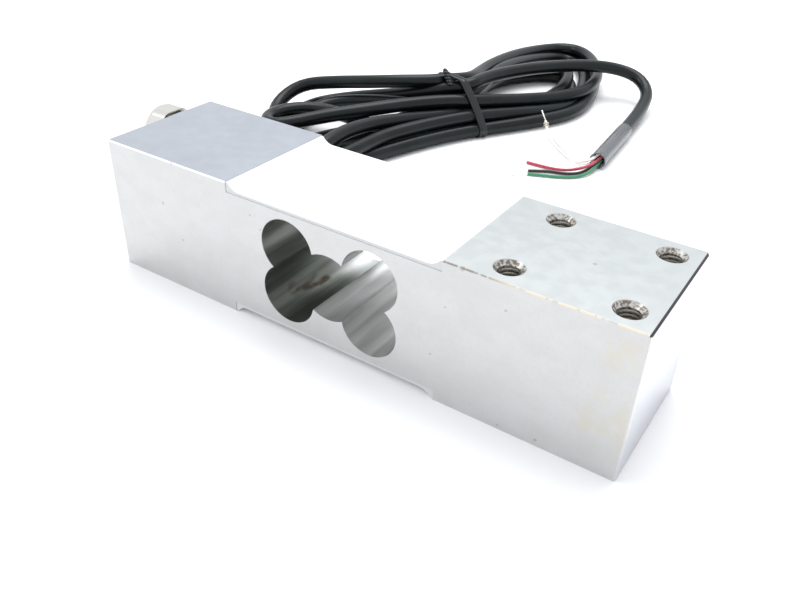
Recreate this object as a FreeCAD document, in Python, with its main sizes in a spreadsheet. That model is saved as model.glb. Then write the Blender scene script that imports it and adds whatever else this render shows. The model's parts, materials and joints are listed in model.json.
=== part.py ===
"""Single point load cell with its cable tied in a hank behind it.

Frame: +X along the beam towards the loaded end, +Y to the back, +Z up.
The origin is the middle of the beam's underside.  Millimetres.
"""
import FreeCAD, Part
import Sketcher
import math
import os

from FreeCAD import Placement, Rotation, Vector

doc = FreeCAD.newDocument("load_cell")

# ---------------------------------------------------------------- driving sizes
SIZES = {
    # the bar
    "beam_length": 150.0, "beam_width": 38.0, "beam_height": 38.0, "edge_break": 0.5,
    "flexure_shift": -1.0,
    # four drilled lobes and a middle bore make the opening through the bar
    "lobe_radius": 7.9, "lobe_spread": 12.2, "flexure_web": 1.8, "middle_radius": 9.0,
    # milled pockets above and below the flexure
    "recess_length": 62.0, "recess_depth": 2.8,
    # tapped M6 holes
    "hole_pitch": 26.0, "hole_edge": 6.5, "thread_bore": 5.0, "thread_depth": 15.0,
    "mouth_width": 7.1, "mouth_angle": 90.0,
    # tapped socket of the gland and the ducts for the wires
    "gland_inset": 9.0, "gland_drop": 8.5, "socket_bore": 10.4, "socket_depth": 8.0,
    "duct_bore": 4.0, "riser_inset": 4.5,
    # strain gauges and terminal boards
    "gauge_length": 8.0, "gauge_width": 5.0, "gauge_thickness": 0.1,
    "board_length": 8.0, "board_width": 14.0, "board_thickness": 0.4,
    "trim_length": 4.0, "trim_width": 3.0, "trim_offset": 11.0,
    # white sealing compound
    "coat_sink": 2.0, "coat_fillet": 4.0, "coat_lip": 0.2, "coat_inset": 0.15,
    # gland
    "gasket_thickness": 0.8, "gasket_width": 12.0, "collar_length": 3.4, "collar_flats": 12.6,
    "neck_length": 0.8, "spigot_width": 10.6, "spigot_length": 3.2, "shank_length": 6.0,
    "nut_length": 7.6, "nut_flats": 14.0, "nut_turned": 15.0, "nut_dome": 2.6, "nut_wall": 1.4,
    "exit_clearance": 0.3, "jacket_end": 5.0,
    "seal_width": 8.6, "seal_length": 6.0, "claw_slot": 0.7, "running_gap": 0.05,
    # cable
    "cable_width": 5.3, "core_width": 1.1, "drain_width": 0.6,
    "sleeve_width": 6.3, "sleeve_length": 36.0, "sleeve_overhang": 3.5,
    "tie_width": 3.0, "tie_thickness": 0.6,
    "strand_pitch": 5.5, "strand_rise": 4.75, "stack_length": 16.0,
    "near_lobe_height": 8.0, "far_lobe_height": 10.0,
}
sheet = doc.addObject("Spreadsheet::Sheet", "sizes")
for row, (alias, value) in enumerate(SIZES.items(), start=1):
    sheet.set("A%d" % row, alias)
    sheet.set("B%d" % row, str(value))
    sheet.setAlias("B%d" % row, alias)
doc.recompute()


def size(alias):
    """Read one driving size back from the sheet."""
    return float(sheet.get(alias))


# ---------------------------------------------------------------- helpers
nodes = []


def node(shape_object, label):
    """Name a finished sub-part, and keep it for the export."""
    shape_object.Label = label
    nodes.append(shape_object)
    return shape_object


def bind(thing, **expressions):
    """Bind properties to sheet sizes: dots are written as double underscores."""
    for path, expression in expressions.items():
        thing.setExpression(path.replace("__", "."), expression)
    return thing


def primitive(kind, name, **expressions):
    return bind(doc.addObject("Part::" + kind, name), **expressions)


def box(name, long, wide, high, centre_x, centre_y, low_z):
    """A box given by its sizes, the middle of its plan and its underside."""
    return primitive("Box", name, Length=long, Width=wide, Height=high,
                     Placement__Base__x="%s - (%s) / 2" % (centre_x, long),
                     Placement__Base__y="%s - (%s) / 2" % (centre_y, wide),
                     Placement__Base__z=low_z)


def along_x(thing, start_x, turn=-90.0, roll=0.0):
    """Lay a primitive on the gland's axis, growing along -X (turn -90) or +X (turn 90)."""
    thing.Placement = Placement(Vector(), Rotation(Vector(0, 1, 0), turn)
                                * Rotation(Vector(0, 0, 1), roll))
    return bind(thing, Placement__Base__x=start_x, Placement__Base__y=GLAND_Y,
                Placement__Base__z=GLAND_Z)


def rod(name, radius, long, start_x, turn=-90.0):
    return along_x(primitive("Cylinder", name, Radius=radius, Height=long), start_x, turn=turn)


def hexagon(name, flats, long, start_x):
    prism = primitive("Prism", name, Circumradius="%s / sqrt(3)" % flats, Height=long)
    prism.Polygon = 6
    return along_x(prism, start_x, roll=30.0)


def cut(name, base, tool):
    result = doc.addObject("Part::Cut", name)
    result.Base, result.Tool = base, tool
    return result


def common(name, base, tool):
    result = doc.addObject("Part::Common", name)
    result.Base, result.Tool = base, tool
    return result


def fuse(name, *shapes):
    result = doc.addObject("Part::MultiFuse", name)
    result.Shapes = list(shapes)
    return result


def new_body(name):
    return doc.addObject("PartDesign::Body", name)


def new_sketch(body, name, role):
    """An empty sketch on one of the body's own origin planes."""
    sketch = body.newObject("Sketcher::SketchObject", name)
    plane = next(item for item in body.Origin.OriginFeatures if item.Role == role)
    sketch.AttachmentSupport = (plane, [""])
    sketch.MapMode = "FlatFace"
    return sketch


def constrain_point(sketch, geometry, end, across, up):
    """Tie one point of the sketch to the origin by two expressions."""
    for kind, expression in (("DistanceX", across), ("DistanceY", up)):
        index = sketch.addConstraint(Sketcher.Constraint(kind, -1, 1, geometry, end, 1.0))
        sketch.setExpression("Constraints[%d]" % index, expression)


def draw_circle(sketch, across, up, radius, guess):
    circle = sketch.addGeometry(Part.Circle(Vector(*guess, 0), Vector(0, 0, 1), 1.0))
    constrain_point(sketch, circle, 3, across, up)
    index = sketch.addConstraint(Sketcher.Constraint("Radius", circle, 1.0))
    sketch.setExpression("Constraints[%d]" % index, radius)


def draw_rectangle(sketch, left, right, low, high, guess):
    """Four lines with coincident ends, two opposite corners tied to the origin."""
    x0, x1, y0, y1 = guess
    corners = [Vector(x0, y0, 0), Vector(x1, y0, 0), Vector(x1, y1, 0), Vector(x0, y1, 0)]
    first = sketch.addGeometry(Part.LineSegment(corners[0], corners[1]))
    for number in range(1, 4):
        sketch.addGeometry(Part.LineSegment(corners[number], corners[(number + 1) % 4]))
    for number in range(4):
        follower = first + (number + 1) % 4
        sketch.addConstraint(Sketcher.Constraint("Coincident", first + number, 2, follower, 1))
    for number, kind in enumerate(("Horizontal", "Vertical", "Horizontal", "Vertical")):
        sketch.addConstraint(Sketcher.Constraint(kind, first + number))
    constrain_point(sketch, first, 1, left, low)
    constrain_point(sketch, first + 2, 1, right, high)


def extrude(body, kind, name, sketch, length=None, both_ways=False, reverse=False):
    feature = body.newObject("PartDesign::" + kind, name)
    feature.Profile = sketch
    feature.Reversed = reverse
    if length is None:
        feature.Type = 1
    else:
        feature.setExpression("Length", length)
    if both_ways:
        feature.Midplane = True
    sketch.Visibility = False
    body.Tip = feature
    doc.recompute()
    return feature


# ---------------------------------------------------------------- the bar
HALF_LONG = "sizes.beam_length / 2"
HALF_WIDE = "sizes.beam_width / 2"
RECESS_LEFT = "(sizes.flexure_shift - sizes.recess_length / 2)"
RECESS_RIGHT = "(sizes.flexure_shift + sizes.recess_length / 2)"
TOP_FLOOR = "(sizes.beam_height - sizes.recess_depth)"
LOBE_RISE = ("(sizes.beam_height / 2 - sizes.recess_depth - sizes.flexure_web"
             " - sizes.lobe_radius)")
GLAND_Y = "(%s - sizes.gland_inset)" % HALF_WIDE
GLAND_Z = "(sizes.beam_height - sizes.gland_drop)"
RISER_X = "(%s + sizes.riser_inset)" % RECESS_LEFT
CABLE_IN_GLAND = "(-%s - sizes.jacket_end)" % HALF_LONG
SHANK_END = "(sizes.shank_length - %s)" % HALF_LONG
POTTING_LONG = "(sizes.socket_depth - sizes.shank_length)"


def make_beam():
    """Aluminium bar: milled recesses, lobed opening, tapped holes, wire ducts."""
    body = new_body("beam_body")
    outline = new_sketch(body, "beam_outline", "XZ_Plane")
    draw_rectangle(outline, "-" + HALF_LONG, HALF_LONG, "0", "sizes.beam_height",
                   (-70, 70, 0, 30))
    extrude(body, "Pad", "bar", outline, "sizes.beam_width", both_ways=True)

    for name, low, high, guess in (
            ("top_recess", TOP_FLOOR, "sizes.beam_height + 1", (-30, 30, 34, 39)),
            ("bottom_recess", "-1", "sizes.recess_depth", (-30, 30, -1, 2))):
        profile = new_sketch(body, name + "_profile", "XZ_Plane")
        draw_rectangle(profile, RECESS_LEFT, RECESS_RIGHT, low, high, guess)
        extrude(body, "Pocket", name, profile, both_ways=True)

    lobe_rows = (("upper_lobes", LOBE_RISE, 25), ("lower_lobes", "-" + LOBE_RISE, 12))
    for name, rise, guess in lobe_rows:
        circles = new_sketch(body, name + "_circles", "XZ_Plane")
        for side, place in (("-", -12), ("+", 12)):
            draw_circle(circles, "sizes.flexure_shift %s sizes.lobe_spread" % side,
                        "sizes.beam_height / 2 + %s" % rise, "sizes.lobe_radius", (place, guess))
        extrude(body, "Pocket", name, circles, both_ways=True)
    middle = new_sketch(body, "middle_circle", "XZ_Plane")
    draw_circle(middle, "sizes.flexure_shift", "sizes.beam_height / 2", "sizes.middle_radius",
                (0, 19))
    extrude(body, "Pocket", "middle_bore", middle, both_ways=True)

    make_tapped_holes(body, "loaded_end_holes", +1)
    make_tapped_holes(body, "fixed_end_holes", -1)

    socket = new_sketch(body, "socket_circle", "YZ_Plane")
    draw_circle(socket, GLAND_Y, GLAND_Z, "sizes.socket_bore / 2", (10, 29))
    bind(socket, AttachmentOffset__Base__z="-" + HALF_LONG)
    extrude(body, "Pocket", "gland_socket", socket, "sizes.socket_depth", reverse=True)
    duct = new_sketch(body, "duct_circle", "YZ_Plane")
    draw_circle(duct, GLAND_Y, GLAND_Z, "sizes.duct_bore / 2", (10, 29))
    bind(duct, AttachmentOffset__Base__z="-" + HALF_LONG)
    extrude(body, "Pocket", "wire_duct", duct, "%s + %s" % (RISER_X, HALF_LONG), reverse=True)
    riser = new_sketch(body, "riser_circle", "XY_Plane")
    draw_circle(riser, RISER_X, GLAND_Y, "sizes.duct_bore / 2", (-28, 10))
    extrude(body, "Pocket", "wire_riser", riser, "sizes.beam_height", reverse=True)

    machined = body.Tip
    breaks = body.newObject("PartDesign::Chamfer", "end_edge_breaks")
    breaks.Base = (machined, end_face_edges(machined.Shape))
    breaks.setExpression("Size", "sizes.edge_break")
    body.Tip = breaks
    return node(body, "load_beam")


def make_tapped_holes(body, name, side):
    """Four M6 holes: side +1 in the top of the loaded end, -1 in the underside of the other."""
    outer = "%s - sizes.hole_edge" % HALF_LONG
    inner = "%s - sizes.hole_edge - sizes.hole_pitch" % HALF_LONG
    places = new_sketch(body, name + "_places", "XY_Plane")
    for across in (inner, outer):
        for up in ("-", ""):
            draw_circle(places, "%d * (%s)" % (side, across), up + "sizes.hole_pitch / 2",
                        "sizes.thread_bore / 2", (side * 50, 10))
    if side > 0:
        bind(places, AttachmentOffset__Base__z="sizes.beam_height")
    doc.recompute()
    hole = body.newObject("PartDesign::Hole", name)
    hole.Profile = places
    doc.recompute()
    hole.Reversed = side < 0
    hole.DepthType = "Dimension"
    hole.DrillPoint = "Angled"
    hole.HoleCutType = "Countersink"
    hole.HoleCutCustomValues = True
    bind(hole, Diameter="sizes.thread_bore", Depth="sizes.thread_depth",
         HoleCutDiameter="sizes.mouth_width", HoleCutCountersinkAngle="sizes.mouth_angle")
    places.Visibility = False
    body.Tip = hole
    doc.recompute()


def end_face_edges(shape):
    """Names of the straight outer edges of the two end faces."""
    names = []
    reach = size("beam_length") / 2
    for number, edge in enumerate(shape.Edges, start=1):
        bounds = edge.BoundBox
        on_end = abs(abs(bounds.Center.x) - reach) < 1e-6 and bounds.XLength < 1e-6
        if on_end and edge.Curve.TypeId == "Part::GeomLine":
            names.append("Edge%d" % number)
    return names


# ---------------------------------------------------------------- gauges, boards and seal
def make_gauges():
    """Foil gauges bonded over the four thin walls of the flexure."""
    for level, floor in (("top", TOP_FLOOR), ("bottom", "sizes.recess_depth - %s")):
        for side, sign in (("left", "-"), ("right", "+")):
            low = floor if level == "top" else floor % "sizes.gauge_thickness"
            node(box("%s_%s_foil" % (level, side), "sizes.gauge_length", "sizes.gauge_width",
                     "sizes.gauge_thickness", "sizes.flexure_shift %s sizes.lobe_spread" % sign,
                     "0", low), "gauge_%s_%s" % (level, side))


def make_boards():
    """Solder terminal boards between the gauges, and the trimming resistor on the top one's side."""
    node(box("upper_board", "sizes.board_length", "sizes.board_width", "sizes.board_thickness",
             "sizes.flexure_shift", "0", TOP_FLOOR), "top_terminal_board")
    node(box("lower_board", "sizes.board_length", "sizes.board_width", "sizes.board_thickness",
             "sizes.flexure_shift", "0", "sizes.recess_depth - sizes.board_thickness"),
         "bottom_terminal_board")
    node(box("trim_chip", "sizes.trim_length", "sizes.trim_width", "sizes.board_thickness",
             "sizes.flexure_shift", "-sizes.trim_offset", TOP_FLOOR), "zero_trim_resistor")


def make_coat(level):
    """White compound poured over the gauges, with a concave fillet up each end wall."""
    top = level == "top"
    skin = "(sizes.recess_depth - sizes.coat_lip)"
    slab_z = TOP_FLOOR if top else "sizes.coat_lip"
    wide = "sizes.beam_width - 2 * sizes.coat_inset"
    slab = box(level + "_slab", "sizes.recess_length", wide, skin, "sizes.flexure_shift", "0",
               slab_z)
    hollow_high = "2 * sizes.coat_fillet"
    surface = "(sizes.beam_height - sizes.coat_sink)"
    hollow_z = surface if top else "sizes.coat_sink - " + hollow_high
    hollow = box(level + "_hollow", "sizes.recess_length", "sizes.beam_width + 2", hollow_high,
                 "sizes.flexure_shift", "0", hollow_z)
    doc.recompute()
    rounded = doc.addObject("Part::Fillet", level + "_rounded_hollow")
    rounded.Base = hollow
    level_z = size("beam_height") - size("coat_sink") if top else size("coat_sink")
    rounded.Edges = [(number, size("coat_fillet"), size("coat_fillet"))
                     for number, edge in enumerate(hollow.Shape.Edges, start=1)
                     if edge.BoundBox.YLength > size("beam_width")
                     and abs(edge.BoundBox.Center.z - level_z) < 1e-6]
    filled = cut(level + "_poured", slab, rounded)

    buried = []
    board_z = TOP_FLOOR if top else "sizes.recess_depth - sizes.board_thickness"
    gauge_z = TOP_FLOOR if top else "sizes.recess_depth - sizes.gauge_thickness"
    for sign in "-+":
        buried.append(box("%s_gauge_print_%d" % (level, len(buried)), "sizes.gauge_length",
                          "sizes.gauge_width", "sizes.gauge_thickness",
                          "sizes.flexure_shift %s sizes.lobe_spread" % sign, "0", gauge_z))
    buried.append(box(level + "_board_print", "sizes.board_length", "sizes.board_width",
                      "sizes.board_thickness", "sizes.flexure_shift", "0", board_z))
    if top:
        buried.append(box("trim_print", "sizes.trim_length", "sizes.trim_width",
                          "sizes.board_thickness", "sizes.flexure_shift", "-sizes.trim_offset",
                          TOP_FLOOR))
    node(cut(level + "_coat", filled, fuse(level + "_prints", *buried)), level + "_sealing_coat")


def make_wiring():
    """Link wires in the riser, the cable's cores in the duct, and the potting behind the gland."""
    wire = "(sizes.duct_bore / 2 - sizes.running_gap) / (1 + sqrt(2))"
    pressed = 1.02
    filler = "0.49 * sizes.core_width"
    looms = []
    for number in range(4):
        angle = math.radians(45 + 90 * number)
        strand = primitive("Cylinder", "link_wire_%d" % number, Radius="%s * %s" % (wire, pressed),
                           Height="sizes.beam_height - 2 * sizes.recess_depth",
                           Placement__Base__z="sizes.recess_depth")
        along, across = math.sqrt(2) * math.cos(angle), math.sqrt(2) * math.sin(angle)
        bind(strand, Placement__Base__x="%s + %s * %.6f" % (RISER_X, wire, along),
             Placement__Base__y="%s + %s * %.6f" % (GLAND_Y, wire, across))
        looms.append(strand)
    node(fuse("link_loom", *looms), "bridge_loom")

    ways = [(-1, -1), (-1, 1), (1, -1), (1, 1)]
    bundle_from = "%s - %s - 3 * %s" % (RISER_X, CABLE_IN_GLAND, wire)
    cores = [four_rods("duct_wire", "sizes.core_width / 2", bundle_from, CABLE_IN_GLAND, ways),
             rod("duct_filler", filler, bundle_from, CABLE_IN_GLAND, turn=90.0)]
    node(fuse("duct_core_bundle", *cores), "duct_cores")
    prints = [four_rods("print", "sizes.core_width / 2", POTTING_LONG, SHANK_END, ways),
              rod("print_filler", filler, POTTING_LONG, SHANK_END, turn=90.0)]
    node(cut("potting_bored", rod("potting_disc", "sizes.socket_bore / 2", POTTING_LONG, SHANK_END,
                                  turn=90.0), fuse("potting_prints", *prints)), "duct_potting")


def four_rods(name, radius, long, start_x, ways):
    """Four rods about the gland's axis, set close enough to fuse."""
    apart = "0.98 * %s" % radius
    rods = []
    for number, (side, level) in enumerate(ways):
        one = rod("%s_%d" % (name, number), radius, long, start_x, turn=90.0)
        rods.append(bind(one, Placement__Base__y="%s + %d * %s" % (GLAND_Y, side, apart),
                         Placement__Base__z="%s + %d * %s" % (GLAND_Z, level, apart)))
    return fuse(name + "s", *rods)


# ---------------------------------------------------------------- gland
FACE = "(-%s)" % HALF_LONG
COLLAR_FROM = "(%s - sizes.gasket_thickness)" % FACE
COLLAR_TO = "(%s - sizes.collar_length)" % COLLAR_FROM
NUT_FROM = "(%s - sizes.neck_length)" % COLLAR_TO
NUT_TO = "(%s - sizes.nut_length)" % NUT_FROM
SPIGOT_TO = "(%s - sizes.spigot_length)" % COLLAR_TO
CABLE_RADIUS = "sizes.cable_width / 2"


def make_gland():
    """Brass gland: gasket, body screwed into the bar, seal, claw and domed clamping nut."""
    shank_radius = "sizes.socket_bore / 2 - sizes.running_gap"
    gasket = cut("gasket_ring",
                 rod("gasket_disc", "sizes.gasket_width / 2", "sizes.gasket_thickness", FACE),
                 rod("gasket_hole", "sizes.socket_bore / 2", "sizes.gasket_thickness", FACE))
    node(gasket, "gland_gasket")

    seal_pocket = "sizes.seal_width / 2 + sizes.running_gap"
    body = cut("gland_body_bored",
               fuse("gland_body_blank",
                    hexagon("collar", "sizes.collar_flats", "sizes.collar_length", COLLAR_FROM),
                    rod("spigot", "sizes.spigot_width / 2", "sizes.spigot_length", COLLAR_TO),
                    rod("shank", shank_radius, "sizes.shank_length + sizes.gasket_thickness",
                        COLLAR_FROM, turn=90.0)),
               fuse("gland_body_bores",
                    rod("cable_way", CABLE_RADIUS + " + sizes.running_gap", "sizes.beam_width",
                        "%s + sizes.beam_width / 2" % FACE),
                    rod("seal_pocket", seal_pocket, "sizes.spigot_length", COLLAR_TO)))
    node(body, "gland_body")

    seal = cut("seal_ring",
               rod("seal_rod", "sizes.seal_width / 2", "sizes.seal_length", COLLAR_TO),
               rod("seal_hole", CABLE_RADIUS, "sizes.seal_length", COLLAR_TO))
    node(seal, "gland_seal")
    make_claw(seal_pocket)

    room = "sizes.spigot_width / 2 + 2 * sizes.running_gap"
    barrel = primitive("Cylinder", "nut_barrel", Radius="sizes.nut_turned / 2",
                       Height="sizes.nut_length")
    along_x(barrel, NUT_FROM)
    doc.recompute()
    dome = doc.addObject("Part::Fillet", "nut_dome")
    dome.Base = barrel
    outer_end = -size("beam_length") / 2 - nut_reach()
    dome.Edges = [(number, size("nut_dome"), size("nut_dome"))
                  for number, edge in enumerate(barrel.Shape.Edges, start=1)
                  if edge.BoundBox.XLength < 1e-6
                  and abs(edge.BoundBox.Center.x - outer_end) < 1e-6]
    nut = cut("nut_bored",
              common("nut_blank", hexagon("nut_hexagon", "sizes.nut_flats", "sizes.nut_length",
                                          NUT_FROM), dome),
              fuse("nut_bores",
                   rod("nut_room", room, "sizes.nut_length - sizes.nut_wall", NUT_FROM),
                   rod("nut_exit", CABLE_RADIUS + " + sizes.exit_clearance", "sizes.nut_length",
                       NUT_FROM)))
    node(nut, "gland_nut")


def nut_reach():
    """How far the gland stands out of the bar."""
    return sum(size(alias) for alias in
               ("gasket_thickness", "collar_length", "neck_length", "nut_length"))


def make_claw(seal_pocket):
    """Slotted plastic claw that the nut closes on the seal."""
    long = "(%s - %s - sizes.nut_wall - sizes.running_gap)" % (SPIGOT_TO, NUT_TO)
    ring = cut("claw_ring", rod("claw_rod", "sizes.spigot_width / 2", long, SPIGOT_TO),
               rod("claw_hole", seal_pocket, long, SPIGOT_TO))
    slot_long = "0.7 * %s" % long
    slots = []
    for number in range(4):
        slot = primitive("Box", "claw_slot_%d" % number, Length=slot_long,
                         Width="sizes.claw_slot", Height="sizes.nut_flats")
        turn = Rotation(Vector(1, 0, 0), 45.0 * number)
        slot.Placement = Placement(Vector(), turn)
        corner = turn.multVec(Vector(0, 0.5, 0)), turn.multVec(Vector(0, 0, 0.5))
        across = "%.6f * sizes.claw_slot + %.6f * sizes.nut_flats"
        bind(slot, Placement__Base__x="%s - %s" % (SPIGOT_TO, slot_long),
             Placement__Base__y="%s - (%s)" % (GLAND_Y, across % (corner[0].y, corner[1].y)),
             Placement__Base__z="%s - (%s)" % (GLAND_Z, across % (corner[0].z, corner[1].z)))
        slots.append(slot)
    node(cut("claw_slotted", ring, fuse("claw_slots", *slots)), "gland_claw")


# ---------------------------------------------------------------- cable
# Each route is the cable's centre line, a list of points chosen by hand.
IN_GLAND = (-size("beam_length") / 2 - size("jacket_end"),
            size("beam_width") / 2 - size("gland_inset"), size("beam_height") - size("gland_drop"))
LEAD = [IN_GLAND, (IN_GLAND[0] - 13, *IN_GLAND[1:]), (-97, 19, 20), (-98.5, 31, 9.5),
        (-100, 47, 4), (-104, 67, 2.9), (-111, 86, 2.9), (-119, 98, 5.5), (-115.5, 110, 11),
        (-101, 116, 13.4), (-87.5, 119.5, 15.4), (-75, 124, 17.2), (-65, 131, 17.6),
        (-61.3, 136.6, 17.5)]
TAIL = [(-50.5, 148.3, 17), (-47, 164, 16.7), (-38.5, 183, 16.1), (-27, 200, 15.3),
        (-16, 211.5, 13.6), (-5, 214.5, 11), (3, 208, 6.8), (5.5, 192, 4), (7.8, 165, 3.2),
        (10.2, 134, 3.2)]
HANK_NEAR_LOBE = [(-44, 128), (-47, 118), (-52, 106), (-57, 91), (-60, 76), (-62, 60), (-66, 46),
                  (-75, 37), (-86, 39), (-94.5, 53), (-99, 71), (-106, 89), (-110, 103),
                  (-109, 114), (-98, 122), (-83, 127), (-69, 129), (-59, 138)]
HANK_FAR_LOBE = [(-57, 140), (-57.5, 151), (-62, 166), (-65.5, 184), (-67, 212), (-63, 240),
                 (-52, 251), (-38, 247), (-26, 232), (-17, 212), (-15, 190), (-20, 172),
                 (-29, 153), (-39, 138)]
HANK_EYE = [(-46, 168), (-36, 165), (-29, 178), (-28, 192), (-36, 201), (-46, 200), (-53, 190),
            (-53, 178)]
# The strands in the tie pile up as a slanted stack. Its corners are counted in strands back from
# the front one and layers up from the lowest.
TIED_STACK = [(0, 0), (3.1, 0), (3.8, 2.95), (2.15, 3), (1.3, 2), (0.6, 1)]
TIE_FRONT = (-40.6, 130.4)
TIE_HEADING = 52.0
CORES = {
    "core_red": [(10.9, 133.7, 3.9), (10.6, 127.6, 3.2), (7.6, 122.6, 2.1), (2.6, 119.7, 0.9),
                 (-4, 118.2, 0.7), (-12.4, 118.2, 0.7)],
    "core_black": [(9.4, 133.7, 2.5), (9.6, 127.5, 1.2), (7.9, 121.2, 0.7), (3.4, 117.3, 0.7),
                   (-3.2, 115.6, 0.7), (-8.7, 111.3, 0.7)],
    "core_green": [(10.9, 133.7, 2.5), (11.2, 127, 1.6), (9.8, 119.6, 0.7), (4.8, 114.4, 0.7),
                   (-2, 111.2, 0.7), (-7.6, 108.7, 0.7)],
    "core_white": [(9.4, 133.7, 4.2), (9.3, 129, 4.2), (6.8, 125.9, 3.4), (2.4, 128, 1.8),
                   (-2.6, 133, 0.7), (-8.5, 138, 0.7), (-13.9, 143.6, 0.7), (-18.2, 148, 2.6),
                   (-20.3, 150.2, 5.6)],
    "drain_wire": [(8.7, 133.7, 3.1), (8.7, 129.2, 2.8), (6.2, 127.9, 1.1), (2.2, 130.9, 0.4),
                   (-3.6, 135.9, 0.4), (-9.4, 140.6, 0.4), (-14.3, 146, 0.4)],
}


def rounded_path(points, closed=False):
    """Straight runs joined by tangent arcs as large as the two runs allow."""
    places = [Vector(*point) if len(point) == 3 else Vector(*point, 0) for point in points]
    count = len(places)
    corners = range(count) if closed else range(1, count - 1)
    arcs, radii = {}, []
    for index in corners:
        before = places[index - 1] - places[index]
        after = places[(index + 1) % count] - places[index]
        half_turn = (math.pi - before.getAngle(after)) / 2
        setback = 0.45 * min(before.Length, after.Length)
        radius = setback / math.tan(half_turn)
        start = places[index] + Vector(before).normalize() * setback
        end = places[index] + Vector(after).normalize() * setback
        inward = (Vector(before).normalize() + Vector(after).normalize()).normalize()
        middle = places[index] + inward * (radius / math.cos(half_turn) - radius)
        arcs[index] = (start, middle, end)
        radii.append(radius)
    edges = []
    cursor = arcs[count - 1][2] if closed else places[0]
    for index in corners:
        start, middle, end = arcs[index]
        edges.append(Part.LineSegment(cursor, start).toShape())
        edges.append(Part.Arc(start, middle, end).toShape())
        cursor = end
    if not closed:
        edges.append(Part.LineSegment(cursor, places[-1]).toShape())
    return Part.Wire(edges), radii


def feature(name, shape):
    result = doc.addObject("Part::Feature", name)
    result.Shape = shape
    return node(result, name)


def make_tube(name, points, width):
    """A plain round tube along a rounded path, its volume checked against its length."""
    path, radii = rounded_path(points)
    start = path.Edges[0]
    ring = Part.Wire(Part.makeCircle(width / 2, start.Vertexes[0].Point, start.tangentAt(0)))
    tube = path.makePipeShell([ring], True, False)
    expected = math.pi * width ** 2 / 4 * path.Length
    print("%s length %.1f radii %s volume ratio %.4f" % (
        name, path.Length, [round(radius, 1) for radius in radii], tube.Volume / expected))
    return feature(name, tube)


def pad_outline(points, margin, low, high):
    """A closed outline of centre-line points, grown sideways and raised to a height."""
    wire, _ = rounded_path(points, closed=True)
    face = Part.Face(wire).makeOffset2D(margin)
    face.translate(Vector(0, 0, low))
    return face.extrude(Vector(0, 0, high - low))


def tied_stack(grow, long):
    """The tied strands as one block along their heading, its outline grown sideways."""
    lowest = size("tie_thickness") + size("cable_width") / 2
    corners = [Vector(-back * size("strand_pitch"), 0, lowest + layer * size("strand_rise"))
               for back, layer in TIED_STACK]
    outline = Part.Face(Part.makePolygon(corners + corners[:1]))
    block = outline.makeOffset2D(size("cable_width") / 2 + grow).extrude(Vector(0, long, 0))
    turn = Rotation(Vector(0, 0, 1), TIE_HEADING - 90)
    middle = Placement(Vector(0, -long / 2, 0), Rotation())
    block.Placement = Placement(Vector(*TIE_FRONT, 0), turn) * middle * block.Placement
    return block


def make_cable():
    """Lead, hank, tie and tail of the one cable, then its sleeve and bare cores."""
    cable = size("cable_width")
    make_tube("cable_lead", LEAD, cable)
    near = pad_outline(HANK_NEAR_LOBE, cable / 2, 0, size("near_lobe_height"))
    far = pad_outline(HANK_FAR_LOBE, cable / 2, 0, size("far_lobe_height"))
    eye = pad_outline(HANK_EYE, -cable / 2, -1, size("far_lobe_height") + 1)
    lobes = near.fuse(far).cut(eye)
    tie_room = tied_stack(size("tie_thickness"), size("tie_width"))
    hank = lobes.cut(tie_room).fuse(tied_stack(0, size("stack_length"))).removeSplitter()
    feature("cable_hank", hank)
    make_tube("cable_tail", TAIL, cable)

    feature("cable_tie", tie_room.cut(tied_stack(0, 2 * size("tie_width"))))

    end = Vector(*TAIL[-1])
    heading = (end - Vector(*TAIL[-2])).normalize()
    mouth = end + heading * size("sleeve_overhang")
    outer = Part.makeCylinder(size("sleeve_width") / 2, size("sleeve_length"), mouth, -heading)
    inner = Part.makeCylinder(cable / 2, size("sleeve_length"), mouth, -heading)
    feature("end_sleeve", outer.cut(inner))
    for name, points in CORES.items():
        make_tube(name, points, size("drain_width" if name == "drain_wire" else "core_width"))


make_beam()
make_gauges()
make_boards()
make_coat("top")
make_coat("bottom")
make_wiring()
make_gland()
make_cable()
doc.recompute()

# ---------------------------------------------------------------- export
for item in doc.Objects:
    broken = [state for state in item.State if state in ("Invalid", "Error")]
    if broken:
        raise RuntimeError("%s is %s" % (item.Name, broken))
os.makedirs("parts", exist_ok=True)
for item in nodes:
    if item.Shape.isNull() or not item.Shape.isValid():
        raise RuntimeError("bad shape: " + item.Label)
    item.Shape.exportStep("parts/%s.step" % item.Label)
    print("%-24s solids %d volume %.1f" % (item.Label, len(item.Shape.Solids), item.Shape.Volume))
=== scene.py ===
"""Looks of a single point load cell: a bar with a lobed bore, its gland and its hanked cable."""
import json
import math

import bpy
import numpy as np
from mathutils import Matrix, Vector


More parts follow.
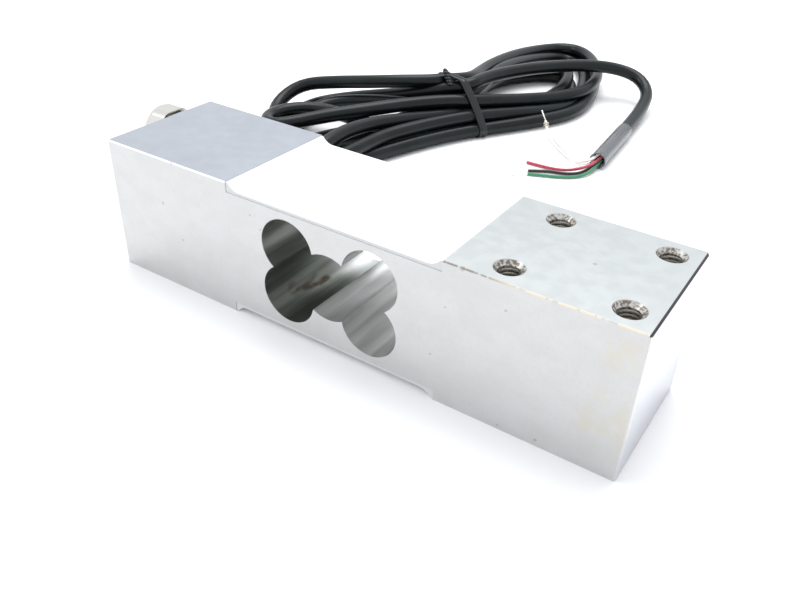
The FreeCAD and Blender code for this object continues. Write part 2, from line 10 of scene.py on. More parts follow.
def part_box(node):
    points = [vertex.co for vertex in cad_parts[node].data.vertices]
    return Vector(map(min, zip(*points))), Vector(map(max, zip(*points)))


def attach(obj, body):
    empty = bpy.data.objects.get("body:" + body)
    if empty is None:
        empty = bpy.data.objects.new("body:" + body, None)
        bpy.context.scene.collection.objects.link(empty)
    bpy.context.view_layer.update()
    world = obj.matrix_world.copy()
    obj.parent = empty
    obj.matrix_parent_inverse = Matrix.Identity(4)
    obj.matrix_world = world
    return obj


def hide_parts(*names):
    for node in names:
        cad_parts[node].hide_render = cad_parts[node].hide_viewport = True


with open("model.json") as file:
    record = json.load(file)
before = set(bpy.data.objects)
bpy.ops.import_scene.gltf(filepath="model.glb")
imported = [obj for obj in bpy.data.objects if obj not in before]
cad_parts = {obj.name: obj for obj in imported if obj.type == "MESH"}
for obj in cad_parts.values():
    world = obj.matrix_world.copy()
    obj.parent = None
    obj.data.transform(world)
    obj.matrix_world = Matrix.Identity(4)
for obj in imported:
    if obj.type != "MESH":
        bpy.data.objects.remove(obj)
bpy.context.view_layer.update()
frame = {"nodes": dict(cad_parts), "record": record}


# ---------------------------------------------------------------- bar
# The load cell's body is one milled aluminium bar. Its outside is fine machined and a little mottled,
# and the bore through it is painted in shade and light, with drawn marks and brown stains from its
# machining.
beam_low, beam_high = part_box("load_beam")
coat_low, coat_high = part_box("top_sealing_coat")
load_bolts = frame["record"]["mounts"][0]
hole_centre = load_bolts["pos_m"][0]
hole_half = load_bolts["dims"]["spacing_x_mm"] / 2000
corners = [(sx * hole_half, sy * hole_half) for sx in (-1, 1) for sy in (-1, 1)]
bore_middle = beam_low.x + 0.074
# The finish of the top faces is whole down to the first depth and gone at the second.
TOP_FADE = 0.0001
TOP_SKIN = 0.0004
# The broken edge of the loaded end lies between these depths under its two faces, and painted shade
# darkens it there.
BREAK_DEEP = 0.00052
BREAK_SHALLOW = 0.00002
COUNTERSINK_REACH = 0.0042
# Each pair is where the bore's finish stops and where it is whole: along, and up from mid height.
BORE_LENGTH = 0.026, 0.025
BORE_RISE = 0.0155, 0.0150

BAR_GREYS = (0.575, 0.575, 0.575), (0.595, 0.596, 0.598)
PORE_GREY = (0.49, 0.49, 0.48)
OIL_YELLOW = (0.60, 0.55, 0.42)
FIXED_TOP_BLUES = (0.415, 0.44, 0.485), (0.435, 0.46, 0.505)
LOADED_TOP_GREY = (0.50, 0.525, 0.525)
COUNTERSINK_BROWNS = (0.20, 0.17, 0.14), (0.56, 0.55, 0.52)
# Painted shade at the bottom of the loaded end's face, lighter towards its top.
END_FACE_SHADE_TO_LIGHT = (0.565, 0.575, 0.615), (0.78, 0.79, 0.82)
# Painted highlight along the fixed end's front top edge.
EDGE_HIGHLIGHT_WHITE = (1.0, 1.0, 1.0)
BURR_BROWNS = (0.27, 0.25, 0.23), (0.74, 0.64, 0.50)
# Painted shade on the loaded end's broken top edge.
BROKEN_EDGE_SHADE = (0.055, 0.045, 0.052)
PIT_BROWN = (0.22, 0.19, 0.15)
# Painted shade on the bore's wall at the fixed end, painted light on the other wall, and a painted pool
# of light at the back.
BORE_SHADED_GREYS = (0.10, 0.108, 0.096), (0.23, 0.245, 0.225)
BORE_LIT_GREYS = (0.40, 0.405, 0.395), (0.68, 0.69, 0.675)
BORE_BACKLIT_GREY = (0.72, 0.74, 0.74)
STAIN_BROWN = (0.055, 0.033, 0.016)

# Small pits and nicks on the bar, as x, y, z and reach.
PITS = [(-0.0558, -0.019, 0.0249, 0.0008), (-0.0244, -0.019, 0.0313, 0.0006),
        (-0.0498, -0.019, 0.0157, 0.0006), (-0.0214, -0.019, 0.0282, 0.0005),
        (0.0314, -0.019, 0.0268, 0.0005), (0.0455, -0.019, 0.0316, 0.0006),
        (0.0285, -0.019, 0.0128, 0.0006), (0.0470, -0.019, 0.0011, 0.0006),
        (0.0563, -0.019, 0.0017, 0.0008), (0.0564, -0.0009, 0.0380, 0.0010),
        (0.0347, -0.019, 0.0378, 0.0012), (-0.0505, -0.019, 0.0378, 0.0008)]
# Yellowish oil marks on the front face near the loaded end.
OIL_MARKS = [(0.071, -0.019, 0.031, 0.007), (0.072, -0.019, 0.014, 0.012)]
# Brown stains on the wall of the bore's lower lobe at the fixed end.
STAINS = [(-0.0190, -0.010, 0.0072, 0.0030), (-0.0184, -0.006, 0.0066, 0.0034),
          (-0.0176, -0.002, 0.0060, 0.0034), (-0.0170, 0.001, 0.0057, 0.0026)]


def material(name, colour, roughness, metallic=0.0, **inputs):
    """A principled material. Further inputs are named with underscores for spaces."""
    made = bpy.data.materials.new(name)
    made.use_nodes = True
    shader = made.node_tree.nodes["Principled BSDF"]
    shader.inputs["Base Color"].default_value = (*colour, 1)
    shader.inputs["Roughness"].default_value = roughness
    shader.inputs["Metallic"].default_value = metallic
    for label, value in inputs.items():
        shader.inputs[label.replace("_", " ")].default_value = value
    return made


def add(made, kind, links=(), **values):
    """Adds a shader node. Links are (input, socket or number) pairs, values are its properties."""
    one = made.node_tree.nodes.new("ShaderNode" + kind)
    for label, value in values.items():
        setattr(one, label, value)
    for label, value in links:
        if isinstance(value, bpy.types.NodeSocket):
            made.node_tree.links.new(value, one.inputs[label])
        else:
            one.inputs[label].default_value = value
    return one


def feed(made, label, socket):
    """Drives one input of the material's shader."""
    made.node_tree.links.new(socket, made.node_tree.nodes["Principled BSDF"].inputs[label])


def place(made):
    """Object coordinates, in metres."""
    return add(made, "TexCoord").outputs["Object"]


def axes(made):
    """The Object coordinates one by one: along the bar, across it and up."""
    return add(made, "SeparateXYZ", [("Vector", place(made))]).outputs


def blend(made, share, first, second):
    """Mixes two colours, each a socket or three numbers, by a share from 0 to 1."""
    first, second = ((*one, 1) if isinstance(one, tuple) else one for one in (first, second))
    return add(made, "MixRGB", [("Fac", share), ("Color1", first), ("Color2", second)]).outputs[0]


def ramp(made, value, low, high):
    """0 at low, 1 at high, smooth between them."""
    return add(made, "MapRange", [("Value", value), ("From Min", low), ("From Max", high)],
               interpolation_type="SMOOTHSTEP").outputs[0]


def noise(made, scale, stretch=(1, 1, 1), detail=3.0, low=0.35, high=0.65):
    """Noise on Object coordinates, spread so that low maps to 0 and high to 1."""
    spread = add(made, "Mapping", [("Vector", place(made)), ("Scale", stretch)]).outputs[0]
    field = add(made, "TexNoise", [("Vector", spread), ("Scale", scale), ("Detail", detail)])
    return ramp(made, field.outputs["Fac"], low, high)


def maths(made, operation, first, second=0.0):
    """One arithmetic step on one or two values, each a socket or a number."""
    return add(made, "Math", [(0, first), (1, second)], operation=operation).outputs[0]


def times(made, first, second):
    """The product of two shares, which is 1 only where both are."""
    return maths(made, "MULTIPLY", first, second)


def band(made, value, low, high, soft=0.00004):
    """1 between low and high, 0 a little outside them."""
    return times(made, ramp(made, value, low - soft, low + soft),
                 ramp(made, value, high + soft, high - soft))


def patch(made, centre, reach, core=0.3):
    """1 in the core share of a ball of space about centre, 0 outside the ball."""
    away = add(made, "VectorMath", [(0, place(made)), (1, centre)], operation="DISTANCE")
    return ramp(made, away.outputs["Value"], reach, core * reach)


def bump(made, height, strength, distance):
    """Raises the surface by a height map."""
    raised = add(made, "Bump", [("Height", height), ("Strength", strength), ("Distance", distance)])
    feed(made, "Normal", raised.outputs[0])


def paint(node_name, made):
    """Gives a CAD node its material."""
    mesh = frame["nodes"][node_name].data
    mesh.materials.clear()
    mesh.materials.append(made)


def face_colour(made, along, up):
    """Mottled grey with pores and oil marks, bluer on top of the fixed end, painted shade low on the
    loaded end's face that lightens upwards, and speckled brown in the countersinks."""
    colour = blend(made, noise(made, 130, (1, 1, 1.6)), *BAR_GREYS)
    pores = noise(made, 1500, low=0.45, high=0.75)
    colour = blend(made, times(made, pores, 0.2), colour, PORE_GREY)
    for x, y, z, reach in OIL_MARKS:
        oil = times(made, patch(made, (x, y, z), reach), noise(made, 300, low=0.3, high=0.9))
        colour = blend(made, times(made, oil, 0.7), colour, OIL_YELLOW)

    top = ramp(made, up, beam_high.z - TOP_SKIN, beam_high.z - TOP_FADE)
    fixed_top = times(made, top, ramp(made, along, coat_low.x + 0.0005, coat_low.x))
    colour = blend(made, fixed_top, colour, blend(made, noise(made, 60), *FIXED_TOP_BLUES))
    loaded_top = times(made, top, ramp(made, along, coat_high.x - 0.0005, coat_high.x))
    colour = blend(made, loaded_top, colour, LOADED_TOP_GREY)

    speckle = blend(made, noise(made, 1400, detail=1.0, low=0.4, high=0.6), *COUNTERSINK_BROWNS)
    sunk = ramp(made, up, beam_high.z - 0.00006, beam_high.z - 0.00015)
    for dx, dy in corners:
        mouth = patch(made, (hole_centre + dx, dy, beam_high.z), COUNTERSINK_REACH, 0.95)
        colour = blend(made, times(made, mouth, sunk), colour, speckle)
    # Painted shade: the loaded end's face darkens towards the bottom and lightens upwards.
    end_face = ramp(made, along, beam_high.x - 0.0002, beam_high.x - 0.0001)
    return blend(made, end_face, colour, blend(made, ramp(made, up, 0.0, 0.024), *END_FACE_SHADE_TO_LIGHT))


def edge_colour(made, along, across, up, colour):
    """The front top edge has a painted highlight at the fixed end and carries a torn burr at the loaded
    end. The top edge of the loaded end's face has painted shade. Pits and nicks come last."""
    front_edge = times(made, band(made, up, beam_high.z - TOP_SKIN, beam_high.z + 0.001),
                       ramp(made, across, beam_low.y + 0.0003, beam_low.y + 0.0001))
    # Painted highlight: a white band along the front top edge of the fixed end.
    edge_highlight = times(made, front_edge, ramp(made, along, coat_low.x, coat_low.x - 0.0002))
    colour = blend(made, edge_highlight, colour, EDGE_HIGHLIGHT_WHITE)
    burr = times(made, front_edge, ramp(made, along, coat_high.x, coat_high.x + 0.0002))
    torn = noise(made, 900, (1, 0.1, 0.1), detail=2.0, low=0.36, high=0.48)
    browns = blend(made, ramp(made, along, 0.036, 0.050), *BURR_BROWNS)
    colour = blend(made, times(made, burr, torn), colour, browns)
    # Painted shade: the broken top edge of the loaded end's face is painted dark.
    edge_shade = times(made, band(made, up, beam_high.z - BREAK_DEEP, beam_high.z - BREAK_SHALLOW),
                   band(made, along, beam_high.x - BREAK_DEEP, beam_high.x - BREAK_SHALLOW))
    colour = blend(made, edge_shade, colour, BROKEN_EDGE_SHADE)
    for x, y, z, reach in PITS:
        pit = patch(made, (x, y, z), 0.75 * reach)
        colour = blend(made, times(made, pit, 0.45), colour, PIT_BROWN)
    return colour


def bore_colour(made, along, across):
    """Marks drawn through the bore, with painted shade on its wall at the fixed end and painted light
    on the other, painted light towards the back where light comes in, and stained brown in one lobe."""
    streaks = noise(made, 300, (1, 0.06, 1), low=0.3, high=0.7)
    # Painted shade on the wall at the fixed end, painted light on the wall facing it; the streaks are
    # drawn marks.
    lit_side = ramp(made, along, bore_middle - 0.0055, bore_middle - 0.0025)
    colour = blend(made, lit_side, blend(made, streaks, *BORE_SHADED_GREYS),
                   blend(made, streaks, *BORE_LIT_GREYS))
    # Painted light: paler towards the back of the bore, where light comes in through its back opening.
    far = times(made, ramp(made, across, 0.003, 0.018), 0.8)
    colour = blend(made, far, colour, BORE_BACKLIT_GREY)
    for x, y, z, reach in STAINS:
        stain = times(made, patch(made, (x, y, z), reach), noise(made, 500, (1, 0.25, 1)))
        colour = blend(made, times(made, stain, 0.85), colour, STAIN_BROWN)
    return colour


def in_bore(made, along, across, up):
    """1 on the walls of the bore, inside the bar's two sides."""
    inner = ramp(made, maths(made, "ABSOLUTE", across), beam_high.y, beam_high.y - 0.0003)
    near = ramp(made, maths(made, "ABSOLUTE", along), *BORE_LENGTH)
    rise = maths(made, "ABSOLUTE", maths(made, "SUBTRACT", up, beam_high.z / 2))
    return times(made, times(made, inner, near), ramp(made, rise, *BORE_RISE))


beam_metal = material("beam_metal", (0.6, 0.6, 0.6), 0.36, 0.75)
along, across, up = axes(beam_metal)
outside = edge_colour(beam_metal, along, across, up, face_colour(beam_metal, along, up))
feed(beam_metal, "Base Color", blend(beam_metal, in_bore(beam_metal, along, across, up), outside,
                                     bore_colour(beam_metal, along, across)))
dull = times(beam_metal, noise(beam_metal, 300), 0.05)
feed(beam_metal, "Roughness", maths(beam_metal, "ADD", dull, 0.34))
bump(beam_metal, noise(beam_metal, 2200, (0.4, 1, 1)), strength=0.06, distance=0.00002)
paint("load_beam", beam_metal)


# ---------------------------------------------------------------- threads
# Each mounting hole has an M6 thread, cut below its countersink. The ridges are a helical surface
# of triangular section that stands on the drilled wall.
THREAD_PITCH = 0.001
THREAD_TURNS = 12
THREAD_STEPS = 40
THREAD_BORE = 0.0025
THREAD_START = 0.0012
# Share of the pitch, and height over the drilled wall.
THREAD_PROFILE = np.array([(0.0, -0.00003), (0.12, -0.00002), (0.5, 0.00042),
                           (0.88, -0.00002), (1.0, -0.00003)])


def surface_mesh(name, grids, closed_across=False):
    """A mesh from a grid of points, rows x columns x 3, or from a stack of such grids, its quads
    facing outwards."""
    index = np.arange(grids.size // 3).reshape(grids.shape[:-1])
    right = np.roll(index, -1, axis=-1) if closed_across else index[..., 1:]
    left = index if closed_across else index[..., :-1]
    quads = np.stack([left[..., :-1, :], right[..., :-1, :], right[..., 1:, :], left[..., 1:, :]],
                     axis=-1).reshape(-1, 4)
    mesh = bpy.data.meshes.new(name)
    mesh.from_pydata(grids.reshape(-1, 3).tolist(), [], quads.tolist())
    mesh.polygons.foreach_set("use_smooth", np.ones(len(quads), dtype=bool))
    return mesh


def thread_grid(centre, top, side):
    """Helix: x + iy = centre + r(v) exp(2 pi i u), z = top - pitch (u + v), where u runs over the turns
    and v over one pitch, and r dips from the wall to the thread's crest and back as a triangle wave.
    A side of -1 turns it over."""
    turns = np.linspace(0, THREAD_TURNS, THREAD_TURNS * THREAD_STEPS + 1)[:, None]
    share, height = THREAD_PROFILE.T
    radius = THREAD_BORE - height
    angle = 2 * math.pi * turns
    x = centre[0] + radius * np.cos(angle)
    y = centre[1] + radius * np.sin(angle) * side
    z = top - side * THREAD_PITCH * (turns + share)
    return np.stack([x, y, z], axis=-1)


def show(name, mesh, made):
    """Puts a new mesh in the scene as a piece of the load cell."""
    mesh.materials.append(made)
    piece = bpy.data.objects.new(name, mesh)
    bpy.context.scene.collection.objects.link(piece)
    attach(piece, "root")
    return piece


thread_metal = material("thread_metal", (0.62, 0.60, 0.56), 0.3, 1.0)
for end, side in (("load", 1), ("base", -1)):
    mouth = beam_high.z - THREAD_START if side > 0 else beam_low.z + THREAD_START
    grids = np.array([thread_grid((side * hole_centre + dx, dy), mouth, side) for dx, dy in corners])
    show(end + "_threads", surface_mesh(end + "_threads", grids), thread_metal)


# ---------------------------------------------------------------- sealed gauges
# Foil gauges and small terminal boards lie in the two recesses under a smooth coat of white compound,
# which runs up the recess's end walls in a fillet.
COMPOUND_WHITES = (0.89, 0.895, 0.90), (0.93, 0.935, 0.94)
COMPOUND_SIDE_GREY = (0.60, 0.605, 0.61)


def coat_material(name):
    """White compound, flush with the bar along its two sides, where it is machined like it."""
    made = material(name, COMPOUND_WHITES[1], 0.42)
    outwards = maths(made, "ABSOLUTE", axes(made)[1])
    side = ramp(made, outwards, coat_high.y - 0.0001, coat_high.y - 0.00005)
    white = blend(made, noise(made, 40), *COMPOUND_WHITES)
    feed(made, "Base Color", blend(made, side, white, COMPOUND_SIDE_GREY))
    return made


foil = material("foil", (0.70, 0.48, 0.20), 0.4)
board = material("board", (0.10, 0.35, 0.20), 0.5)
wire_cover = material("wire_cover", (0.85, 0.80, 0.70), 0.45)
for level in ("top", "bottom"):
    paint("gauge_%s_left" % level, foil)
    paint("gauge_%s_right" % level, foil)
    paint(level + "_terminal_board", board)
    paint(level + "_sealing_coat", coat_material(level + "_compound"))
paint("zero_trim_resistor", board)
paint("bridge_loom", wire_cover)
paint("duct_cores", wire_cover)
paint("duct_potting", material("potting", (0.12, 0.12, 0.12), 0.5))


# ---------------------------------------------------------------- gland
# The cable leaves the fixed end through a nickel plated gland: a gasket, a hexagonal collar and a
# domed nut that closes a slotted claw on a rubber seal.
nickel = material("nickel", (0.74, 0.73, 0.69), 0.22, 1.0)
rubber = material("rubber", (0.03, 0.03, 0.03), 0.6)
paint("gland_body", nickel)
paint("gland_nut", nickel)
paint("gland_gasket", rubber)
paint("gland_seal", rubber)
paint("gland_claw", material("claw_plastic", (0.82, 0.81, 0.77), 0.5))


# ---------------------------------------------------------------- cable
# One black jacketed cable runs from the gland to its stripped end. It is folded into a flat hank of
# five turns, tied near the middle, with a small lobe towards the bar and a large one away from it.
CABLE = 0.0053
JACKET_BLACKS = (0.0025, 0.0045, 0.005), (0.005, 0.009, 0.010)
LEAD = [(-0.080, 0.010, 0.0295), (-0.093, 0.010, 0.0295), (-0.097, 0.019, 0.020),
        (-0.0985, 0.031, 0.0095), (-0.100, 0.047, 0.004), (-0.104, 0.067, 0.0029),
        (-0.111, 0.086, 0.0029), (-0.119, 0.098, 0.0055), (-0.1155, 0.110, 0.011),
        (-0.101, 0.116, 0.0134), (-0.0875, 0.1195, 0.0154), (-0.075, 0.124, 0.0172),
        (-0.065, 0.131, 0.0176), (-0.0613, 0.1366, 0.0175)]
TAIL = [(-0.0505, 0.1483, 0.017), (-0.047, 0.164, 0.0167), (-0.0385, 0.183, 0.0161),
        (-0.027, 0.200, 0.0153), (-0.016, 0.2115, 0.0136), (-0.005, 0.2145, 0.011),
        (0.003, 0.208, 0.0068), (0.0055, 0.192, 0.004), (0.0078, 0.165, 0.0032),
        (0.0102, 0.134, 0.0032)]
# The hank's units: the pitch of its strands, the rise of its layers, and its lowest centre line.
PITCH = 0.0055
RISE = 0.00475
FLOOR_LAYER = 0.0029
TIE_FRONT = np.array([-0.0406, 0.1304])
TIE_HEADING = math.radians(52)
# The lobes' guide lines, in plan and in millimetres: each has an outer and an inner loop of strands.
FAR_OUTER = [(-57.5, 151), (-62, 166), (-65.5, 184), (-67, 212), (-63, 240), (-52, 250),
             (-39, 244.5), (-28, 229.5), (-19, 211), (-16, 190), (-20, 172), (-29, 153)]
FAR_INNER = [(-53.5, 150), (-61, 165), (-63.7, 176), (-63.3, 188), (-58.5, 200), (-49.5, 212),
             (-40, 215), (-32.5, 206), (-27.5, 190), (-28.5, 178), (-31, 168), (-36, 157)]
NEAR_OUTER = [(-47, 118), (-52, 106), (-57, 91), (-60, 76), (-62, 60), (-63.5, 46.5),
              (-74.4, 36.5), (-86.5, 38), (-94.5, 52), (-99, 71), (-106, 89), (-110, 103),
              (-109, 114), (-98, 122), (-83, 127), (-69, 129)]
NEAR_INNER = [(-47, 118), (-52, 106), (-57, 91), (-61, 77), (-66, 65), (-69.5, 58.5),
              (-74, 55), (-79, 57), (-81, 63), (-81, 73), (-79.5, 82), (-76, 91), (-72, 99),
              (-69, 105), (-66, 111), (-61, 119)]
# Where each turn lies. A row is (station on the guide, share of the inner guide, strands inwards,
# layers up), and between rows the turn moves evenly.
FAR_TURNS = [
    [(0, 0, .2, 2.7), (1, 0, .3, 2.3), (2, 0, .45, 2.1), (3, 0, .5, 1.6), (4, 0, .5, 1),
     (8, 0, .55, 1.05), (9, 0, .7, .95), (10, 0, 1, 1.05), (11, 0, 1.4, 1.3)],
    [(0, 1, 0, 0), (11, 1, 0, 0)],
    [(0, 0, -.5, 0), (1, 0, -.9, 0), (2, 0, -.9, 0), (3, 0, 0, 0), (5, 0, 0, 0), (7, 0, .5, 0),
     (8, 0, .75, 0), (9, 0, .4, 0), (10, 0, -.4, 0), (11, 0, -.4, 0)],
    [(0, 1, .1, 1), (1, 1, .45, .95), (2, 1, .75, .85), (4, 1, .7, .9), (6, 1, .3, 1),
     (7, 1, .3, .95), (8, 1, .6, .7), (9, 1, .95, .1), (10, 1, 1, 0), (11, 1, .8, .4)],
    [(0, 0, 1, 2), (2, 0, 1.3, 1.9), (3, 0, 1.25, 1.1), (4, 0, 1.25, .3), (5, 0, 1.1, 0),
     (7, 0, 1.4, 0), (8, 0, 1.7, 0), (9, 0, 1.3, .1), (10, 0, .6, .15), (11, 0, .45, .5)]]
# The near lobes of the second turn and on.
NEAR_TURNS = [
    [(0, 1, 1, 0), (2, 1, 1, .1), (4, 1, .5, .7), (5, 1, .1, 1), (6, 1, -.4, 1), (7, 1, -.8, .5),
     (8, 1, -1, 0), (11, 1, -1, 0), (15, 1, -.5, 0)],
    [(0, 1, 0, 0), (12, 1, 0, 0), (14, 1, 0, .9), (15, 1, 0, 1)],
    [(0, 0, 1.6, 1), (1, 0, 1.6, 1.3), (2, 0, 1.6, 1.7), (3, 0, 1.5, 1.9), (4, 0, .7, 1.95),
     (5, 0, .9, .9), (6, 0, .9, .1), (7, 0, .95, 0), (9, 0, 1, 0), (11, .15, .2, .3),
     (13, .2, 0, .8), (14, .25, 0, 1.1), (15, .3, 0, 1.2)],
    [(0, 0, .6, 1), (2, 0, .6, 1), (3, 0, .2, 1), (4, 0, 0, 1), (5.5, 0, 0, 0), (10, 0, 0, 0),
     (12, 0, 0, .1), (13, 0, 0, .6), (14, 0, 0, 1.25), (15, 0, 0, 2)]]
# The first turn's near lobe lies over the others, away from their guides, so its points are a list.
TOP_LOBE = [(-0.0525, 0.1295, 0.0126), (-0.0595, 0.1205, 0.0128), (-0.066, 0.1105, 0.0129),
            (-0.072, 0.1005, 0.0128), (-0.079, 0.092, 0.012), (-0.086, 0.0845, 0.0108),
            (-0.0925, 0.0765, 0.0094), (-0.0985, 0.0705, 0.0088), (-0.106, 0.077, 0.0085),
            (-0.1055, 0.087, 0.0085), (-0.1, 0.095, 0.0084), (-0.091, 0.098, 0.0083),
            (-0.082, 0.0975, 0.0083), (-0.0735, 0.097, 0.0083), (-0.0665, 0.1, 0.006),
            (-0.0625, 0.108, 0.0032), (-0.0583, 0.118, 0.003)]
# Places in the tie, as (strands back from the front one, layers up), turn by turn. The tail has the
# last of the far ones.
NEAR_SLOTS = [(1.3, 2), (1, 0), (0, 0), (1.6, 1), (.6, 1)]
FAR_SLOTS = [(3.8, 2.95), (2, 0), (3.1, 0), (2.65, 1), (2.4, 2), (2.15, 3)]


def slot_place(slot):
    """A strand's place where the tie holds it."""
    back, layer = slot
    x, y = TIE_FRONT + back * PITCH * np.array([-math.sin(TIE_HEADING), math.cos(TIE_HEADING)])
    return [x, y, FLOOR_LAYER + layer * RISE]


def lobe(outer, inner, rows):
    """One turn's stations: p = g + a pitch n, where g mixes the guides, n is the guide's inward
    normal in plan and a the strands inwards, at a height of its layers."""
    outer, inner, rows = np.array(outer) / 1000, np.array(inner) / 1000, np.array(rows, dtype=float)
    stations = np.arange(len(outer))
    share, strands, layers = (np.interp(stations, rows[:, 0], rows[:, k]) for k in (1, 2, 3))
    guide = outer + (inner - outer) * share[:, None]
    step = np.gradient(guide, axis=0)
    inward = np.stack([step[:, 1], -step[:, 0]], axis=1)
    inward /= np.linalg.norm(inward, axis=1)[:, None]
    plan = guide + inward * (strands * PITCH)[:, None]
    return np.column_stack([plan, FLOOR_LAYER + layers * RISE]).tolist()


def cable_route():
    """Control points of the whole cable: lead, five turns of the hank, and tail."""
    far_lobes = [lobe(FAR_OUTER, FAR_INNER, rows) for rows in FAR_TURNS]
    near_lobes = [TOP_LOBE] + [lobe(NEAR_OUTER, NEAR_INNER, rows) for rows in NEAR_TURNS]
    route = list(LEAD)
    for far_slot, far, near_slot, near in zip(FAR_SLOTS, far_lobes, NEAR_SLOTS, near_lobes):
        route += [slot_place(far_slot), *far, slot_place(near_slot), *near]
    return route + [slot_place(FAR_SLOTS[-1])] + TAIL


def round_wire(name, points, width, made):
    """A smooth round cord along control points."""
    curve = bpy.data.curves.new(name, "CURVE")
    curve.dimensions = "3D"
    curve.resolution_u = 4
    curve.bevel_depth = width / 2
    curve.bevel_resolution = 5
    curve.use_fill_caps = True
    spline = curve.splines.new("NURBS")
    spline.points.add(len(points) - 1)
    for knot, point in zip(spline.points, points):
        knot.co = (*point, 1)
    spline.order_u = 3
    spline.use_endpoint_u = True
    curve.materials.append(made)
    piece = bpy.data.objects.new(name, curve)
    bpy.context.scene.collection.objects.link(piece)
    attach(piece, "root")
    return piece


jacket = material("jacket", (0.006, 0.008, 0.009), 0.32, Specular_IOR_Level=0.3)
feed(jacket, "Base Color", blend(jacket, noise(jacket, 60), *JACKET_BLACKS))
bump(jacket, noise(jacket, 1500, detail=2.0), strength=0.12, distance=0.00003)
cable = round_wire("cable", cable_route(), CABLE, jacket)
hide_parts("cable_lead", "cable_hank", "cable_tail")


# ---------------------------------------------------------------- tie
# A flat twist tie in black plastic holds the hank. Its band follows the outline of the strands, and
# its two ends are twisted together on the far side.
TIE_WIDTH = 0.003
TIE_THICKNESS = 0.0007
TIE_GAP = 0.00005
TIE_STEPS = 180
TIE_SKEW = 0.35
# The band's section, as (share of the width, share of the thickness): a hollow between two ribs.
TIE_SECTION = np.array([(-.5, 0), (-.5, 1), (-.3, 1), (-.26, .55),
                        (.26, .55), (.3, 1), (.5, 1), (.5, 0)])
# How thick each twisted end is, and where the pair starts and stops.
TIE_END = 0.0014
TIE_END_FROM = -0.0604, 0.1345, 0.0225
TIE_END_TO = -0.0560, 0.1335, 0.0165


def tie_outline(count):
    """Hull of the strands in the tie: for each heading t the point that reaches furthest along it,
    p(t) = argmax(c . u) + r u, with u = (cos t, sin t)."""
    slots = np.array(NEAR_SLOTS + FAR_SLOTS)
    centres = np.column_stack([slots[:, 0] * PITCH, FLOOR_LAYER + slots[:, 1] * RISE])
    angle = np.linspace(0, 2 * math.pi, count, endpoint=False)
    heading = np.column_stack([np.cos(angle), np.sin(angle)])
    furthest = centres[np.argmax(heading @ centres.T, axis=1)]
    return furthest, heading


def tie_grid(width, thickness):
    """The section swept round the outline: p(t, s) = c(t) + (r + thickness s) u(t). Each point moves
    back along the strands by the skew times its distance from the front."""
    furthest, heading = tie_outline(TIE_STEPS)
    reach = CABLE / 2 + TIE_GAP + TIE_SECTION[:, 1] * thickness
    flat = furthest[:, None, :] + heading[:, None, :] * reach[None, :, None]
    back = np.array([-math.sin(TIE_HEADING), math.cos(TIE_HEADING)])
    ahead = np.array([math.cos(TIE_HEADING), math.sin(TIE_HEADING)])
    along = TIE_SECTION[:, 0] * width - TIE_SKEW * flat[..., 0]
    plan = TIE_FRONT + flat[..., :1] * back + along[..., None] * ahead
    grid = np.concatenate([plan, np.maximum(flat[..., 1:], 0.0001)], axis=-1)
    return np.concatenate([grid, grid[:1]])


def twist(start, end, turns, radius, phase=0.0):
    """Centre line of a wire in a twisted pair: p(t) = start + t (end - start) + r (cos a, sin a) in the
    plane across, with a = 2 pi turns t + phase and r growing from nothing at the start."""
    start, end = np.array(start), np.array(end)
    ahead = (end - start) / np.linalg.norm(end - start)
    side = np.cross(ahead, (0, 0, 1))
    side /= np.linalg.norm(side)
    lift = np.cross(side, ahead)
    t = np.linspace(0, 1, 12 * turns + 1)[:, None]
    angle = 2 * math.pi * turns * t + phase
    reach = radius * np.minimum(1, 4 * t)
    return (start + t * (end - start) + reach * (np.cos(angle) * side + np.sin(angle) * lift)).tolist()


tie_plastic = material("tie_plastic", (0.012, 0.014, 0.015), 0.3)
tie_mesh = surface_mesh("tie_band", tie_grid(TIE_WIDTH, TIE_THICKNESS), closed_across=True)
tie = show("tie_band", tie_mesh, tie_plastic)
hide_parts("cable_tie")
on_cable = [tie]
for name, phase in (("tie_end_a", 0), ("tie_end_b", math.pi)):
    line = twist(TIE_END_FROM, TIE_END_TO, turns=3, radius=0.0008, phase=phase)
    on_cable.append(round_wire(name, line, TIE_END, tie_plastic))


# ---------------------------------------------------------------- stripped end
# The jacket ends inside a clear sleeve. Four insulated cores and a bare drain wire come out of it,
# with tinned tips, and the drain wire ends in a small knot.
# Diameters of a core with its insulation, of the drain wire and of the knot's fine wire.
CORE = 0.0011
DRAIN = 0.0006
KNOT = 0.0004
# The routes, in millimetres.
CORES = {
    "core_red": [(10.9, 133.7, 3.9), (10.6, 127.6, 3.2), (7.6, 122.6, 2.1), (2.6, 119.7, 0.9),
                 (-4, 118.2, 0.7), (-12.4, 118.2, 0.7)],
    "core_black": [(9.4, 133.7, 2.5), (9.6, 127.5, 1.2), (7.9, 121.2, 0.7), (3.4, 117.3, 0.7),
                   (-3.2, 115.6, 0.7), (-8.7, 111.3, 0.7)],
    "core_green": [(10.9, 133.7, 2.5), (11.2, 127, 1.6), (9.8, 119.6, 0.7), (4.8, 114.4, 0.7),
                   (-2, 111.2, 0.7), (-7.6, 108.7, 0.7)],
    "core_white": [(9.4, 133.7, 4.2), (9.3, 129, 4.2), (6.8, 125.9, 3.4), (2.4, 128, 1.8),
                   (-2.6, 133, 0.7), (-8.5, 138, 0.7), (-13.9, 143.6, 0.7), (-18.2, 148, 2.6),
                   (-20.3, 150.2, 5.6)],
}
DRAIN_WIRE = [(8.7, 133.7, 3.1), (8.7, 129.2, 2.8), (6.2, 127.9, 1.1), (2.2, 130.9, 0.4),
              (-3.6, 135.9, 0.4), (-9.4, 140.6, 0.4), (-14.3, 146, 0.4)]
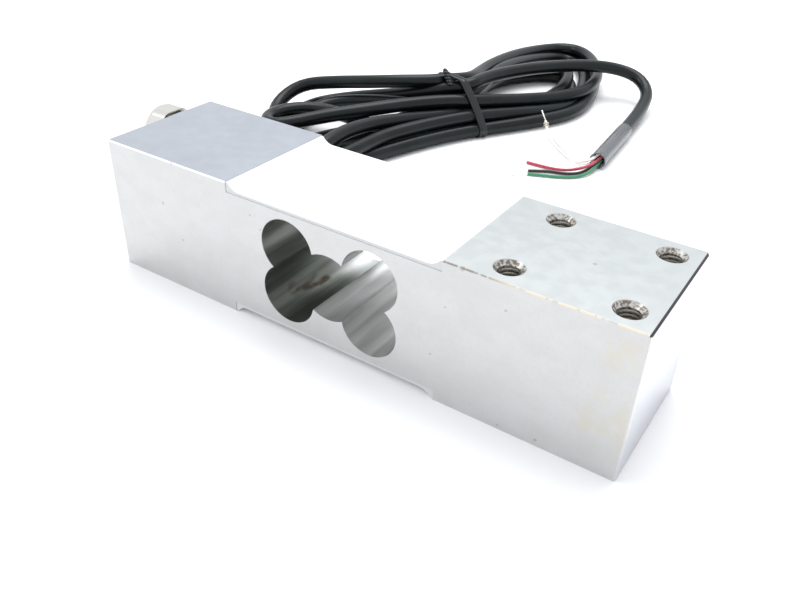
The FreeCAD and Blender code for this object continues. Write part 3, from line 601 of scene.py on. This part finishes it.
# The tinned ends go on from the insulation, in metres, and the knot from the drain wire.
TIPS = {"core_red": [(-0.0148, 0.1174, 0.0007), (-0.0168, 0.1162, 0.0008)],
        "core_black": [(-0.0110, 0.1098, 0.0007), (-0.0124, 0.1088, 0.0009)],
        "core_green": [(-0.0096, 0.1068, 0.0006), (-0.0124, 0.1050, 0.0004)],
        "core_white": [(-0.0218, 0.1512, 0.0072), (-0.0236, 0.1528, 0.0084)]}
KNOT_BEND = (-0.0172, 0.1477, 0.0013)
KNOT_FROM = (-0.0186, 0.1484, 0.0031)
KNOT_TO = (-0.0200, 0.1499, 0.0052)
KNOT_END = (-0.0186, 0.1492, 0.0054)
COVERS = {"core_red": (0.48, 0.05, 0.09), "core_black": (0.02, 0.02, 0.02),
          "core_green": (0.045, 0.24, 0.12), "core_white": (0.90, 0.88, 0.84)}

paint("end_sleeve", material("clear_sleeve", (0.50, 0.52, 0.545), 0.15, Transmission_Weight=0.8,
                             IOR=1.35))
tinned = material("tinned", (0.85, 0.84, 0.82), 0.3, 0.9)
for core_name, points in CORES.items():
    cover = material(core_name + "_cover", COVERS[core_name], 0.35)
    route = (np.array(points) / 1000).tolist()
    core = round_wire(core_name + "_insulation", route, CORE, cover)
    tip = round_wire(core_name + "_tip", [route[-1]] + TIPS[core_name], 0.5 * CORE, tinned)
    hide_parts(core_name)
    on_cable += [core, tip]
drain_route = (np.array(DRAIN_WIRE) / 1000).tolist()
drain = round_wire("drain_strand", drain_route, DRAIN, tinned)
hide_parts("drain_wire")
knot_wire = material("knot_wire", (0.62, 0.56, 0.45), 0.5, 0.3)
knot_route = [drain_route[-1], KNOT_BEND, *twist(KNOT_FROM, KNOT_TO, turns=3, radius=0.0009), KNOT_END]
on_cable += [round_wire("drain_knot", knot_route, KNOT, knot_wire), drain]


# ---------------------------------------------------------------- studio
# The load cell lies on a plain white surface in soft light from above, seen from above its loaded end.
FLOOR_REACH = 6


def stage_mesh(name, grid, made):
    """A surface of the surroundings, which is no piece of the load cell."""
    mesh = surface_mesh(name, grid)
    mesh.materials.append(made)
    piece = bpy.data.objects.new(name, mesh)
    bpy.context.scene.collection.objects.link(piece)


def softbox(name, spot, target, size, power):
    """A square area light that faces a target."""
    lamp = bpy.data.lights.new(name, "AREA")
    lamp.size = size
    lamp.energy = power
    light = bpy.data.objects.new(name, lamp)
    light.location = spot
    light.rotation_mode = "QUATERNION"
    light.rotation_quaternion = (Vector(target) - Vector(spot)).to_track_quat("-Z", "Y")
    bpy.context.scene.collection.objects.link(light)


paper = material("paper", (0.93, 0.93, 0.93), 0.9, Specular_IOR_Level=0.1)
span = np.linspace(-FLOOR_REACH, FLOOR_REACH, 3)
stage_mesh("floor", np.stack([*np.meshgrid(span, span), np.zeros((3, 3))], axis=-1), paper)

world = bpy.data.worlds.new("studio")
bpy.context.scene.world = world
world.use_nodes = True
sky = world.node_tree.nodes["Background"]
sky.inputs["Color"].default_value = (0.95, 0.97, 1.0, 1)
sky.inputs["Strength"].default_value = 1.0
softbox("ceiling", spot=(-0.2, 0.5, 1.3), target=(0, 0.05, 0), size=1.0, power=14)
softbox("key", spot=(-0.9, -0.5, 0.8), target=(0, 0, 0), size=0.5, power=3)

camera_data = bpy.data.cameras.new("camera")
camera_data.lens = 35.85
camera_data.clip_start = 0.01
camera = bpy.data.objects.new("camera", camera_data)
eye = (0.09913, -0.14468, 0.12285)
right, ahead = Vector((0.83239, 0.55306, 0.03547)), Vector((-0.44435, 0.70428, -0.55366))
turn = Matrix((right, right.cross(ahead), -ahead)).transposed()
camera.matrix_world = Matrix.Translation(eye) @ turn.to_4x4()
bpy.context.scene.collection.objects.link(camera)
bpy.context.scene.camera = camera
bpy.context.scene.view_settings.view_transform = "Standard"
